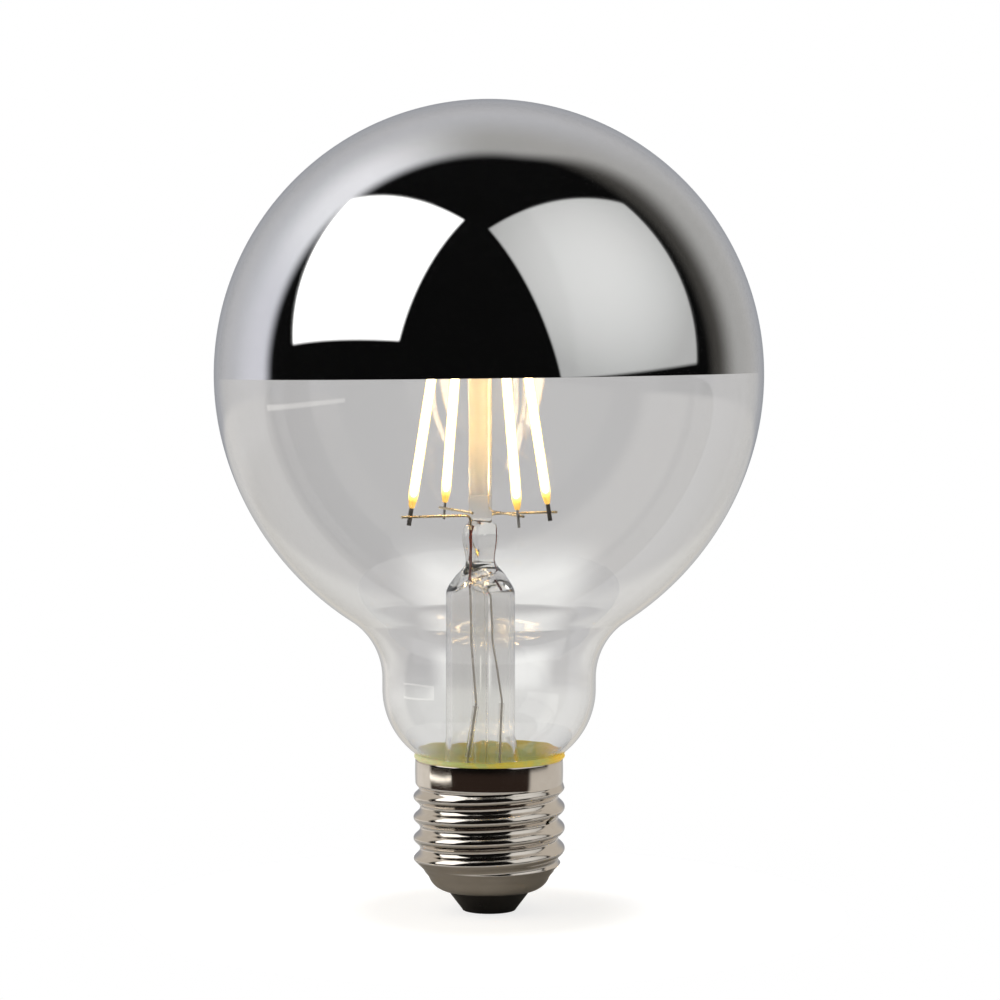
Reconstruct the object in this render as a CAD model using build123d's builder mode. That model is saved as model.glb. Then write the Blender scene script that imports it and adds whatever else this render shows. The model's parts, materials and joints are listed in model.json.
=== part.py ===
from build123d import *
from math import acos, cos, pi, radians, sin, sqrt
import os

# Globe lamp with a silvered crown, four LED filaments and a 27 mm screw cap.
# Millimetres, +Z up towards the crown, origin at the middle of the centre contact's face.
# The front faces -Y.

# Glass bulb
GLOBE_DIAMETER = 95.0
GLASS_WALL = 0.8
SHOULDER_RADIUS = 52.0        # the globe's lower part is a little longer than a sphere
SHOULDER_START = 14.0         # degrees below the equator
NECK_BLEND_RADIUS = 12.0      # hollow curve between globe and neck
NECK_DIAMETER = 37.2
NECK_STRAIGHT = 1.9
NECK_CURVE_RADIUS = 14.0      # bulged curve from the neck towards the cap
SEAL_CURVE_RADIUS = 3.5       # hollow curve just inside the cap's rim
SEAL_STRAIGHT = 4.4           # straight end of the neck inside the cap
SEAL_DEPTH = 6.3              # the neck's lower end lies this far below the cap's rim
MIRROR_FILM = 0.1
MIRROR_CLEARANCE = 0.05       # between the film and the glass it lies on
MIRROR_EDGE_TILT = 0.7        # degrees by which the silver's edge is off level

# Cap shell with its rolled thread
THREAD_MAJOR = 26.4
THREAD_DEPTH = 1.15           # from a crest in to a root
THREAD_PITCH = 3.629
THREAD_CREST_HEIGHT = 14.6    # level of a crest on the +X side
SHELL_WALL = 0.3
SKIRT_INSET = 0.3             # the skirt's face lies this far inside the crests
SKIRT_LENGTH = 4.1
SKIRT_CONE_HEIGHT = 1.4
RIM_HEIGHT = 26.7
BOWL_BOTTOM = 3.7
BOWL_RADIUS = 3.6             # rounded lower end of the shell
BOWL_INSET = 2.4              # the bowl's side lies this far inside the crests
BOWL_END_ANGLE = 10.0         # degrees below level where the rounding meets the thread's run-in
RUN_IN_INSET = 1.75           # where the thread begins, this far inside the crests
SHELL_HOLE_DIAMETER = 14.6
PUNCH_ANGLE = -33.0           # place of the punched slot that traps the shell wire
PUNCH_DEPTH = 9.9             # below the rim
PUNCH_WIDTH = 0.5
PUNCH_LENGTH = 1.4

# Insulator and centre contact
CONTACT_PROUD = 0.15
CONTACT_DIAMETER = 7.2
CONTACT_THICKNESS = 0.65
CONTACT_EDGE = 0.1
RIVET_DIAMETER = 2.2
RIVET_BORE = 0.8
RIVET_HEAD_DIAMETER = 3.4
RIVET_HEAD_THICKNESS = 0.5
INSULATOR_FACE_DIAMETER = 9.28
INSULATOR_CHAMFER_WIDTH = 0.31
INSULATOR_CHAMFER_HEIGHT = 0.45
INSULATOR_TOP = 5.6

# Basing cement
CEMENT_GAP = 1.2              # between the neck's end and the skirt
CEMENT_BEAD_WIDTH = 0.45      # how far the bead stands out past the skirt
CEMENT_BEAD_LEVEL = 0.7       # above the rim
CEMENT_TOP = 1.6              # above the rim

# Stem: flare, tube, press, glass post and exhaust tube
STEM_OFFSET = 1.5             # the stem stands this far towards -X of the globe's axis
STEM_DIAMETER = 12.0
STEM_WALL = 0.9
FLARE_LAND = 1.2              # height of the flare's lip against the neck
FLARE_HEIGHT = 9.0            # from the lip up to the straight tube
FLARE_WAIST = 0.3             # share of the flare's height, and of its spread, at its middle section
STEM_LENGTH = 35.1            # from the neck's lower end to the tube's top
STEM_DOME_RISE = 2.6          # the hollow's closed end above the tube
SHOULDER_RISE = 2.9           # level of the shoulder above the tube
SHOULDER_WIDE = 10.6
SHOULDER_NARROW = 8.2
WAIST_RISE = 5.6
WAIST_WIDE = 7.8
WAIST_NARROW = 3.0
PRESS_BULGE_RISE = 10.0
PRESS_WIDE = 9.2
PRESS_NARROW = 4.4
PRESS_HEIGHT = 12.2           # the press's top above the tube
PRESS_ANGLE = 55.6            # direction of the press's wide side
LEAD_SPACING = 6.0
POST_DIAMETER = 4.0
POST_BEAD_DIAMETER = 5.6
POST_BEAD_BELOW = 1.7
POST_BEAD_ABOVE = 2.3
POST_BEAD_ROUND = 1.2
EXHAUST_DIAMETER = 2.8
EXHAUST_WALL = 0.5
EXHAUST_OVERHANG = 1.8        # the sealed tip hangs this far below the neck
EXHAUST_TAPER = 2.4
BLOW_HOLE_DIAMETER = 1.5
BLOW_HOLE_RISE = 1.2          # above the hollow's closed end

# Filaments
FILAMENT_ANGLE = 28.4         # direction of the first filament about the stem's axis
FOOT_RADIUS = 13.65
HEAD_RADIUS = 7.6
FOOT_RISE = 1.5               # the lower wires cross the pins this far above the press
COAT_LENGTH = 32.0
COAT_DIAMETER = 1.7
COAT_TIP_DIAMETER = 1.0
COAT_TAPER = 1.8
PIN_LENGTH = 3.0
PIN_WIDTH = 0.75
PIN_THICKNESS = 0.25
WELD_INSET = 1.5              # from the coat's end to the crossing wire
WELD_GAP = 0.03
SUPPORT_WIRE = 0.45
WIRE_OVERHANG = 1.7           # how far a wire runs on past its pin
WIRE_BEND = 0.9
BRANCH_TAIL = 1.0             # how far a branch wire runs back past its lead

# Leads
DUMET_WIRE = 0.35
DUMET_RISE = 1.5              # from the tube's top to the wire's lower end
DUMET_DEPTH = 1.1             # the wire's upper end lies this far inside the press
OUTER_LEAD = 0.4
GLASS_CLEARANCE = 0.01
SLEEVE_DIAMETER = 1.1
SLEEVE_BORE = 0.6
SLEEVE_LENGTH = 9.0
SLEEVE_START = 0.5            # below the lead's bend
LEAD_BEND = 1.5
# Corners of the outer leads, from the stem's axis and up from the neck's lower end
LEFT_ROUTE = [(-1.5, -2.5, 27.1), (-0.7, -2.6, 16.1), (-2.3, -2.2, 5.3)]
RIGHT_ROUTE = [(2.2, 2.4, 27.1), (3.9, 2.2, 16.1), (3.4, 1.9, 5.3)]
LEFT_PAD_X = -3.0
RIGHT_PAD_X = 3.5
PAD_START = 0.4               # below the board's upper edge
PAD_END = 1.8

# Driver inside the cap
BOARD_WIDTH = 17.0
BOARD_TOP_GAP = 2.4           # below the neck's lower end
BOARD_THICKNESS = 1.0
BOARD_OFFSET = 1.0            # the board's middle plane stands this far towards +Y
BOARD_CORNER = 2.0
BOARD_CLEARANCE = 0.2
PART_GAP = 0.05
CAPACITOR_DIAMETER = 6.3
CAPACITOR_X = -3.9
CAPACITOR_LIFT = 0.9          # above the board's lower edge
CAPACITOR_DROP = 2.3          # its top lies this far below the board's upper edge
CAPACITOR_ROUND = 0.5
CAPACITOR_GROOVE_HEIGHT = 1.0
CAPACITOR_GROOVE_WIDTH = 0.5
CAPACITOR_GROOVE_DEPTH = 0.3
RECTIFIER_WIDTH = 4.7
RECTIFIER_HEIGHT = 3.9
RECTIFIER_DEPTH = 1.4
RECTIFIER_X = 4.2
RECTIFIER_LEGS = 2
RECTIFIER_LEG_PITCH = 2.5
CHIP_WIDTH = 4.9
CHIP_HEIGHT = 3.9
CHIP_DEPTH = 1.5
CHIP_X = 1.7
CHIP_LEGS = 4
CHIP_LEG_PITCH = 1.0
CHIP_TAPER = 6.0
CHIP_LEG_WIDTH = 0.4
CHIP_LEG_LENGTH = 0.6
CHIP_LEG_THICKNESS = 0.3
CHOKE_DIAMETER = 6.0
CHOKE_WINDING_DIAMETER = 5.0
CHOKE_LENGTH = 5.0
CHOKE_FLANGE = 0.8
CHOKE_X = -4.9
FUSE_DIAMETER = 2.6
FUSE_BODY = 6.0
FUSE_CAP_DIAMETER = 2.9
FUSE_CAP_LENGTH = 1.0
FUSE_LEAD = 0.6
FUSE_LEAD_LENGTH = 1.2
FUSE_X = 6.3
INNER_WIRE = 0.4
SHELL_WIRE_X = 7.4
SHELL_WIRE_DROP = 0.6         # the wire's bend lies this far under the slot
SHELL_WIRE_RUN = 2.1          # from the bend down to the board's pad
CONTACT_WIRE_RISE = 0.9

# Levels and centres that follow from the sizes above
crest_radius = THREAD_MAJOR / 2
root_radius = crest_radius - THREAD_DEPTH
skirt_radius = crest_radius - SKIRT_INSET
skirt_bottom = RIM_HEIGHT - SKIRT_LENGTH
bowl_top = BOWL_BOTTOM + BOWL_RADIUS * (1 - sin(radians(BOWL_END_ANGLE)))
turns_below_crest = (THREAD_CREST_HEIGHT - bowl_top) // THREAD_PITCH
thread_start = THREAD_CREST_HEIGHT - turns_below_crest * THREAD_PITCH
punch_height = RIM_HEIGHT - PUNCH_DEPTH
skirt_inner = skirt_radius - SHELL_WALL
seal_height = RIM_HEIGHT - SEAL_DEPTH
seal_radius = skirt_inner - CEMENT_GAP
neck_radius = NECK_DIAMETER / 2
globe_radius = GLOBE_DIAMETER / 2
seal_curve_height = seal_height + SEAL_STRAIGHT
neck_curve_x = neck_radius - NECK_CURVE_RADIUS
seal_curve_x = seal_radius + SEAL_CURVE_RADIUS
seal_turn = acos((seal_curve_x - neck_curve_x) / (NECK_CURVE_RADIUS + SEAL_CURVE_RADIUS))
neck_curve_height = seal_curve_height + (NECK_CURVE_RADIUS + SEAL_CURVE_RADIUS) * sin(seal_turn)
blend_height = neck_curve_height + NECK_STRAIGHT
blend_x = neck_radius + NECK_BLEND_RADIUS
shoulder_shift = SHOULDER_RADIUS - globe_radius
shoulder_x = -shoulder_shift * cos(radians(SHOULDER_START))
shoulder_height = blend_height + sqrt(
    (SHOULDER_RADIUS + NECK_BLEND_RADIUS) ** 2 - (blend_x - shoulder_x) ** 2
)
globe_height = shoulder_height - shoulder_shift * sin(radians(SHOULDER_START))
blend_turn = acos((blend_x - shoulder_x) / (SHOULDER_RADIUS + NECK_BLEND_RADIUS))
crown_height = globe_height + globe_radius
tube_top = seal_height + STEM_LENGTH
stem_dome = tube_top + STEM_DOME_RISE
press_top = tube_top + PRESS_HEIGHT
exhaust_tip = seal_height - EXHAUST_OVERHANG
dumet_bottom = tube_top + DUMET_RISE
dumet_top = press_top - DUMET_DEPTH
foot_height = press_top + FOOT_RISE
weld_span = COAT_LENGTH + 2 * WELD_INSET
head_height = foot_height + sqrt(weld_span**2 - (FOOT_RADIUS - HEAD_RADIUS) ** 2)
weld_offset = PIN_THICKNESS / 2 + SUPPORT_WIRE / 2 + WELD_GAP
board_bottom = INSULATOR_TOP + RIVET_HEAD_THICKNESS + BOARD_CLEARANCE
board_top = seal_height - BOARD_TOP_GAP
board_height = board_top - board_bottom
board_middle = (board_bottom + board_top) / 2
board_front = BOARD_OFFSET - BOARD_THICKNESS / 2
board_back = BOARD_OFFSET + BOARD_THICKNESS / 2
shell_wire_bend = punch_height - SHELL_WIRE_DROP
shell_wire_foot = shell_wire_bend - SHELL_WIRE_RUN

os.makedirs("parts", exist_ok=True)


def write(part, label):
    """Name a finished piece and write it to its file."""
    part.label = label
    export_step(part, f"parts/{label}.step")


def bulb_section(inset):
    """Half section of the bulb's outline moved in by inset, closed along the axis."""
    with BuildSketch(Plane.XZ) as section:
        with BuildLine():
            top = (0, crown_height - inset)
            CenterArc((0, globe_height), globe_radius - inset, -SHOULDER_START, 90 + SHOULDER_START)
            turn = blend_turn * 180 / pi
            CenterArc(
                (shoulder_x, shoulder_height), SHOULDER_RADIUS - inset, -turn, turn - SHOULDER_START
            )
            CenterArc((blend_x, blend_height), NECK_BLEND_RADIUS + inset, 180 - turn, turn)
            side = neck_radius - inset
            Line((side, blend_height), (side, neck_curve_height))
            turn = seal_turn * 180 / pi
            CenterArc((neck_curve_x, neck_curve_height), NECK_CURVE_RADIUS - inset, -turn, turn)
            CenterArc(
                (seal_curve_x, seal_curve_height), SEAL_CURVE_RADIUS + inset, 180 - turn, turn
            )
            foot = (seal_radius - inset, seal_curve_height)
            Polyline(foot, (seal_radius - inset, seal_height), (0, seal_height), top)
        make_face()
    return section.sketch


def make_envelope():
    """Blown bulb, open at the foot of its neck where the stem is sealed in."""
    with BuildPart() as envelope:
        revolve(bulb_section(0), Axis.Z)
        revolve(bulb_section(GLASS_WALL), Axis.Z, mode=Mode.SUBTRACT)
    write(envelope.part, "glass_envelope")


def make_mirror():
    """Silver film on the inner face of the crown, down to a slightly tilted edge."""
    outer = globe_radius - GLASS_WALL - MIRROR_CLEARANCE
    edge = Plane(
        origin=(0, 0, globe_height),
        x_dir=(1, 0, 0),
        z_dir=(-sin(radians(MIRROR_EDGE_TILT)), 0, cos(radians(MIRROR_EDGE_TILT))),
    )
    with BuildPart() as mirror:
        with BuildSketch(Plane.XZ):
            with BuildLine():
                dip = 2 * MIRROR_EDGE_TILT
                outer_arc = CenterArc((0, globe_height), outer, -dip, 90 + dip)
                inner_arc = CenterArc((0, globe_height), outer - MIRROR_FILM, -dip, 90 + dip)
                Line(outer_arc @ 0, inner_arc @ 0)
                Line(outer_arc @ 1, inner_arc @ 1)
            make_face()
        revolve(axis=Axis.Z)
        split(bisect_by=edge, keep=Keep.TOP)
    write(mirror.part, "crown_mirror")


def cap_form(inset, top):
    """Filled shape of the screw cap up to a level, every surface moved in by inset."""
    major = crest_radius - inset
    minor = root_radius - inset
    skirt = skirt_radius - inset
    run_in = crest_radius - RUN_IN_INSET - inset * sqrt(2)
    oversize = major + SHELL_WALL
    start = thread_start
    cone_foot = skirt_bottom - SKIRT_CONE_HEIGHT
    bowl_x = crest_radius - BOWL_INSET - BOWL_RADIUS
    bowl_z = BOWL_BOTTOM + BOWL_RADIUS
    offset = (major - minor) / 2
    with BuildPart() as form:
        with BuildLine() as spine:
            Helix(THREAD_PITCH, skirt_bottom - start, offset, center=(0, 0, start))
        with BuildSketch(Plane.XY.offset(start)):
            with Locations((offset, 0)):
                Circle((major + minor) / 2)
        sweep(path=spine.line, normal=(0, 0, 1))
        with BuildSketch(Plane.XZ):
            with BuildLine():
                Polyline(
                    (0, start),
                    (run_in, start),
                    (oversize, start + (oversize - run_in)),
                    (oversize, cone_foot - (oversize - skirt)),
                    (skirt, cone_foot),
                    (skirt, skirt_bottom),
                    (0, skirt_bottom),
                    close=True,
                )
            make_face()
        revolve(axis=Axis.Z, mode=Mode.INTERSECT)
        with BuildSketch(Plane.XZ):
            with BuildLine():
                bowl = CenterArc(
                    (bowl_x, bowl_z), BOWL_RADIUS - inset, -90, 90 - BOWL_END_ANGLE
                )
                Polyline(bowl @ 1, (run_in, start), (0, start), (0, BOWL_BOTTOM + inset), bowl @ 0)
            make_face()
            with BuildLine():
                Polyline(
                    (0, cone_foot),
                    (minor, cone_foot),
                    (skirt, skirt_bottom),
                    (skirt, top),
                    (0, top),
                    close=True,
                )
            make_face()
        revolve(axis=Axis.Z)
    return form.part


def make_shell(outer_form, inner_form):
    """Thin rolled shell with its thread, open above and below, and the punched slot."""
    slot_plane = Plane.XY.rotated((0, 0, PUNCH_ANGLE)) * Plane(
        origin=(0, 0, punch_height), x_dir=(0, 0, 1), z_dir=(1, 0, 0)
    )
    with BuildPart() as shell:
        add(outer_form)
        add(inner_form, mode=Mode.SUBTRACT)
        with BuildSketch(Plane.XY):
            Circle(SHELL_HOLE_DIAMETER / 2)
        extrude(amount=THREAD_CREST_HEIGHT, mode=Mode.SUBTRACT)
        with BuildSketch(slot_plane):
            SlotOverall(PUNCH_LENGTH, PUNCH_WIDTH)
        extrude(amount=THREAD_MAJOR, mode=Mode.SUBTRACT)
    write(shell.part, "cap_shell")


def make_insulator(inner_form):
    """Moulded insulator that fills the shell's lower end around the centre contact."""
    face = INSULATOR_FACE_DIAMETER / 2
    with BuildPart() as insulator:
        add(inner_form)
        with BuildSketch(Plane.XY):
            Circle(THREAD_MAJOR)
        extrude(amount=INSULATOR_TOP, mode=Mode.INTERSECT)
        with BuildSketch(Plane.XZ):
            with BuildLine():
                Polyline(
                    (0, CONTACT_PROUD),
                    (face, CONTACT_PROUD),
                    (face + INSULATOR_CHAMFER_WIDTH, CONTACT_PROUD + INSULATOR_CHAMFER_HEIGHT),
                    (SHELL_HOLE_DIAMETER / 2, BOWL_BOTTOM),
                    (SHELL_HOLE_DIAMETER / 2, INSULATOR_TOP),
                    (0, INSULATOR_TOP),
                    close=True,
                )
            make_face()
        revolve(axis=Axis.Z)
        with BuildSketch(Plane.XY):
            Circle(RIVET_DIAMETER / 2)
        extrude(amount=INSULATOR_TOP, mode=Mode.SUBTRACT)
        with BuildSketch(Plane.XY):
            Circle(CONTACT_DIAMETER / 2)
        extrude(amount=CONTACT_THICKNESS, mode=Mode.SUBTRACT)
    write(insulator.part, "cap_insulator")


def make_contact():
    """Centre contact with a hollow rivet that is clinched over inside the insulator."""
    rivet_top = INSULATOR_TOP + RIVET_HEAD_THICKNESS
    with BuildPart() as contact:
        with BuildSketch(Plane.XZ):
            with BuildLine():
                Polyline(
                    (0, 0),
                    (CONTACT_DIAMETER / 2, 0),
                    (CONTACT_DIAMETER / 2, CONTACT_THICKNESS),
                    (RIVET_DIAMETER / 2, CONTACT_THICKNESS),
                    (RIVET_DIAMETER / 2, INSULATOR_TOP),
                    (RIVET_HEAD_DIAMETER / 2, INSULATOR_TOP),
                    (RIVET_BORE / 2, rivet_top),
                    (RIVET_BORE / 2, CONTACT_THICKNESS),
                    (0, CONTACT_THICKNESS),
                    close=True,
                )
            make_face()
        revolve(axis=Axis.Z)
        fillet(contact.edges().group_by(Axis.Z)[0], CONTACT_EDGE)
    write(contact.part, "centre_contact")


def make_cement():
    """Ring of basing cement between the neck and the shell, with a bead on the rim."""
    skirt = skirt_radius
    bead = skirt + CEMENT_BEAD_WIDTH
    bead_level = RIM_HEIGHT + CEMENT_BEAD_LEVEL
    with BuildPart() as cement:
        with BuildSketch(Plane.XZ):
            with BuildLine():
                Polyline(
                    (0, skirt_bottom),
                    (skirt_inner, skirt_bottom),
                    (skirt_inner, RIM_HEIGHT),
                    (skirt, RIM_HEIGHT),
                )
                Spline(
                    (skirt, RIM_HEIGHT),
                    (bead, bead_level),
                    (skirt, RIM_HEIGHT + CEMENT_TOP),
                    tangents=((1, 0.3), (-1, 1)),
                )
                Polyline(
                    (skirt, RIM_HEIGHT + CEMENT_TOP),
                    (0, RIM_HEIGHT + CEMENT_TOP),
                    (0, skirt_bottom),
                )
            make_face()
            add(bulb_section(0), mode=Mode.SUBTRACT)
        revolve(axis=Axis.Z)
    write(cement.part, "basing_cement")


def stem_plane(height, shift):
    """Level plane across the stem, its X along the press's wide side."""
    turn = radians(PRESS_ANGLE)
    return Plane(origin=(-shift, 0, height), x_dir=(cos(turn), sin(turn), 0), z_dir=(0, 0, 1))


def stem_section(height, wide, narrow, shift):
    """Oval section of the stem by its full widths."""
    with BuildSketch(stem_plane(height, shift)) as section:
        Ellipse(wide / 2, narrow / 2)
    return section.sketch


def stem_form(inset):
    """Filled shape of the flare and the tube above it, moved in by inset."""
    lip = 2 * (seal_radius - GLASS_WALL - inset)
    tube = STEM_DIAMETER - 2 * inset
    foot = seal_height + FLARE_LAND
    waist = tube + (lip - tube) * FLARE_WAIST
    with BuildPart() as form:
        with BuildSketch(Plane.XY.offset(seal_height)):
            Circle(lip / 2)
        extrude(amount=FLARE_LAND)
        loft(
            [
                stem_section(foot, lip, lip, 0),
                stem_section(
                    foot + FLARE_HEIGHT * FLARE_WAIST, waist, waist, STEM_OFFSET * (1 - FLARE_WAIST)
                ),
                stem_section(foot + FLARE_HEIGHT, tube, tube, STEM_OFFSET),
            ]
        )
        with BuildSketch(stem_plane(foot + FLARE_HEIGHT, STEM_OFFSET)):
            Circle(tube / 2)
        extrude(amount=tube_top - foot - FLARE_HEIGHT)
    return form.part


def make_stem():
    """Flared glass tube, pressed flat at its top around the leads, with its blow hole."""
    tube = STEM_DIAMETER
    bore = STEM_DIAMETER - 2 * STEM_WALL
    hollow = stem_form(STEM_WALL)
    with BuildPart() as stem:
        add(stem_form(0))
        loft(
            [
                stem_section(tube_top, tube, tube, STEM_OFFSET),
                stem_section(
                    tube_top + SHOULDER_RISE, SHOULDER_WIDE, SHOULDER_NARROW, STEM_OFFSET
                ),
                stem_section(tube_top + WAIST_RISE, WAIST_WIDE, WAIST_NARROW, STEM_OFFSET),
                stem_section(
                    tube_top + PRESS_BULGE_RISE, PRESS_WIDE, PRESS_NARROW, STEM_OFFSET
                ),
                stem_section(press_top, WAIST_WIDE, POST_DIAMETER, STEM_OFFSET),
            ]
        )
        add(hollow, mode=Mode.SUBTRACT)
        loft(
            [
                stem_section(tube_top, bore, bore, STEM_OFFSET),
                stem_section(
                    tube_top + STEM_DOME_RISE / 2,
                    SHOULDER_WIDE - 2 * STEM_WALL,
                    SHOULDER_NARROW - 2 * STEM_WALL,
                    STEM_OFFSET,
                ),
                stem_section(stem_dome, LEAD_SPACING, EXHAUST_DIAMETER, STEM_OFFSET),
            ],
            mode=Mode.SUBTRACT,
        )
        with BuildSketch(stem_plane(stem_dome, STEM_OFFSET)):
            Circle(EXHAUST_DIAMETER / 2 - EXHAUST_WALL)
        extrude(amount=BLOW_HOLE_RISE, mode=Mode.SUBTRACT)
        hole_plane = Plane(
            origin=(-STEM_OFFSET, 0, stem_dome + BLOW_HOLE_RISE), x_dir=(0, 1, 0), z_dir=(1, 0, 0)
        )
        with BuildSketch(hole_plane):
            Circle(BLOW_HOLE_DIAMETER / 2)
        extrude(amount=STEM_DIAMETER, mode=Mode.SUBTRACT)
        with BuildSketch(stem_plane(tube_top, STEM_OFFSET)):
            with Locations((-LEAD_SPACING / 2, 0), (LEAD_SPACING / 2, 0)):
                Circle(DUMET_WIRE / 2 + GLASS_CLEARANCE)
        extrude(amount=dumet_top - tube_top, mode=Mode.SUBTRACT)
        with BuildSketch(stem_plane(dumet_top, STEM_OFFSET)):
            with Locations((-LEAD_SPACING / 2, 0), (LEAD_SPACING / 2, 0)):
                Circle(SUPPORT_WIRE / 2 + GLASS_CLEARANCE)
        extrude(amount=press_top, mode=Mode.SUBTRACT)
    write(stem.part, "stem_tube")


def stem_profile_plane():
    """Upright plane through the stem's axis."""
    return Plane(origin=(-STEM_OFFSET, 0, 0), x_dir=(1, 0, 0), z_dir=(0, -1, 0))


def stem_axis():
    """The stem's own axis."""
    return Axis((-STEM_OFFSET, 0, 0), (0, 0, 1))


def make_exhaust():
    """Exhaust tube on the stem's axis, melted shut at its lower tip."""
    outer = EXHAUST_DIAMETER / 2
    bore = outer - EXHAUST_WALL
    with BuildPart() as exhaust:
        with BuildSketch(stem_profile_plane()):
            with BuildLine():
                Polyline(
                    (0, exhaust_tip),
                    (bore, exhaust_tip),
                    (outer, exhaust_tip + EXHAUST_TAPER),
                    (outer, stem_dome),
                    (bore, stem_dome),
                    (bore, exhaust_tip + EXHAUST_TAPER),
                    (0, exhaust_tip + EXHAUST_TAPER / 2),
                    close=True,
                )
            make_face()
        revolve(axis=stem_axis())
        fillet(exhaust.edges().group_by(Axis.Z)[0], EXHAUST_WALL)
    write(exhaust.part, "exhaust_tube")


def bridge_plane(turn, height):
    """Upright plane across a bridge wire, on the stem's axis, facing along the wire."""
    angle = radians(FILAMENT_ANGLE + turn)
    along = Vector(cos(angle), sin(angle), 0)
    return Plane(origin=(-STEM_OFFSET, 0, height), x_dir=(0, 0, 1), z_dir=along)


def make_post():
    """Glass post on the press, with a melted bead at its top that holds the bridge wires."""
    post = POST_DIAMETER / 2
    bead = POST_BEAD_DIAMETER / 2
    bead_foot = head_height - POST_BEAD_BELOW
    top = head_height + POST_BEAD_ABOVE
    with BuildPart() as glass_post:
        with BuildSketch(stem_profile_plane()):
            with BuildLine():
                Polyline(
                    (0, press_top),
                    (post, press_top),
                    (post, bead_foot - (bead - post)),
                    (bead, bead_foot),
                    (bead, top),
                    (0, top),
                    close=True,
                )
            make_face()
        revolve(axis=stem_axis())
        fillet(glass_post.edges().group_by(Axis.Z)[-1], POST_BEAD_ROUND)
        for turn, height in bridges():
            with BuildSketch(bridge_plane(turn, height)):
                with Locations((0, weld_offset)):
                    Circle(SUPPORT_WIRE / 2 + GLASS_CLEARANCE)
            extrude(amount=POST_BEAD_DIAMETER, both=True, mode=Mode.SUBTRACT)
    write(glass_post.part, "support_post")


def bridges():
    """Direction and level of the two crossed wires at the top of the post."""
    return (0, head_height), (90, head_height + 2 * SUPPORT_WIRE)


def make_bridges():
    """Straight wires through the bead, each joining the tops of two opposite filaments."""
    reach = HEAD_RADIUS + WIRE_OVERHANG
    for number, (turn, height) in enumerate(bridges(), start=1):
        with BuildPart() as bridge:
            with BuildSketch(bridge_plane(turn, height)):
                with Locations((0, weld_offset)):
                    Circle(SUPPORT_WIRE / 2)
            extrude(amount=reach, both=True)
        write(bridge.part, f"bridge_wire_{number}")


def stem_point(radius, angle, height):
    """Point at a radius and an angle in degrees about the stem's axis."""
    turn = radians(angle)
    return Vector(-STEM_OFFSET + radius * cos(turn), radius * sin(turn), height)


def lead_point(side, height):
    """Point on the left (-1) or right (+1) lead where it stands in the press."""
    return stem_point(side * LEAD_SPACING / 2, PRESS_ANGLE, height)


def wire(points, diameter, bend):
    """Round wire along straight runs joined by tangent bends."""
    with BuildPart() as bent:
        with BuildLine() as path:
            if len(points) > 2:
                FilletPolyline(points, radius=bend)
            else:
                Line(points)
        with BuildSketch(Plane(origin=path.line @ 0, z_dir=path.line % 0)):
            Circle(diameter / 2)
        sweep(path=path.line)
    return bent.part


def make_filament(place, turn, side, branch):
    """One filament with its two pins and the lower wire that feeds it."""
    foot = stem_point(FOOT_RADIUS, FILAMENT_ANGLE + turn, foot_height)
    head = stem_point(HEAD_RADIUS, FILAMENT_ANGLE + turn, head_height)
    rise = (head - foot).normalized()
    lead = lead_point(side, foot_height)
    level = (SUPPORT_WIRE + WELD_GAP) if branch else 0
    crossing = foot + rise * (level / rise.Z)
    outward = Vector(foot.X - lead.X, foot.Y - lead.Y, 0).normalized()
    radial = stem_point(HEAD_RADIUS, FILAMENT_ANGLE + turn, 0) - stem_point(0, 0, 0)
    start = foot + rise * WELD_INSET
    end = start + rise * COAT_LENGTH

    coat_normal = rise.cross(radial).normalized()
    across = coat_normal.cross(rise)
    with BuildPart() as coat:
        with BuildSketch(Plane(origin=start, x_dir=across, z_dir=across.cross(rise))):
            with BuildLine():
                Polyline(
                    (0, 0),
                    (COAT_TIP_DIAMETER / 2, 0),
                    (COAT_DIAMETER / 2, COAT_TAPER),
                    (COAT_DIAMETER / 2, COAT_LENGTH - COAT_TAPER),
                    (COAT_TIP_DIAMETER / 2, COAT_LENGTH),
                    (0, COAT_LENGTH),
                    close=True,
                )
            make_face()
        revolve(axis=Axis(start, rise))
    write(coat.part, f"filament_{place}")

    pins = (("lower", start, outward, -1), ("upper", end, radial.normalized(), 1))
    for level_name, root, along, direction in pins:
        flat = (along - rise * along.dot(rise)).normalized()
        with BuildPart() as pin:
            with BuildSketch(Plane(origin=root, x_dir=flat, z_dir=rise * direction)):
                Rectangle(PIN_WIDTH, PIN_THICKNESS)
            extrude(amount=PIN_LENGTH)
        write(pin.part, f"{level_name}_pin_{place}")

    weld = crossing + rise.cross(outward).normalized() * weld_offset
    tip = weld + outward * WIRE_OVERHANG
    if branch:
        back = lead + Vector(0, 0, level)
        run = (Vector(weld.X, weld.Y, back.Z) - back).normalized()
        points = [back - run * BRANCH_TAIL, tip]
        name = "branch"
    else:
        points = [lead_point(side, dumet_top), lead, tip]
        name = "feed"
    bent = wire(points, SUPPORT_WIRE, WIRE_BEND)
    write(bent, f"{name}_wire_{'left' if side < 0 else 'right'}")


def lead_route(side):
    """Corners of an outer lead from the press to its pad on the driver board."""
    route = LEFT_ROUTE if side < 0 else RIGHT_ROUTE
    corners = [Vector(x - STEM_OFFSET, y, seal_height + rise) for x, y, rise in route]
    pad_x = LEFT_PAD_X if side < 0 else RIGHT_PAD_X
    stand_off = OUTER_LEAD / 2 + PART_GAP
    pad_y = board_front - stand_off if side < 0 else board_back + stand_off
    pad = [Vector(pad_x, pad_y, board_top - depth) for depth in (PAD_START, PAD_END)]
    return [lead_point(side, dumet_bottom)] + corners + pad


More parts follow.
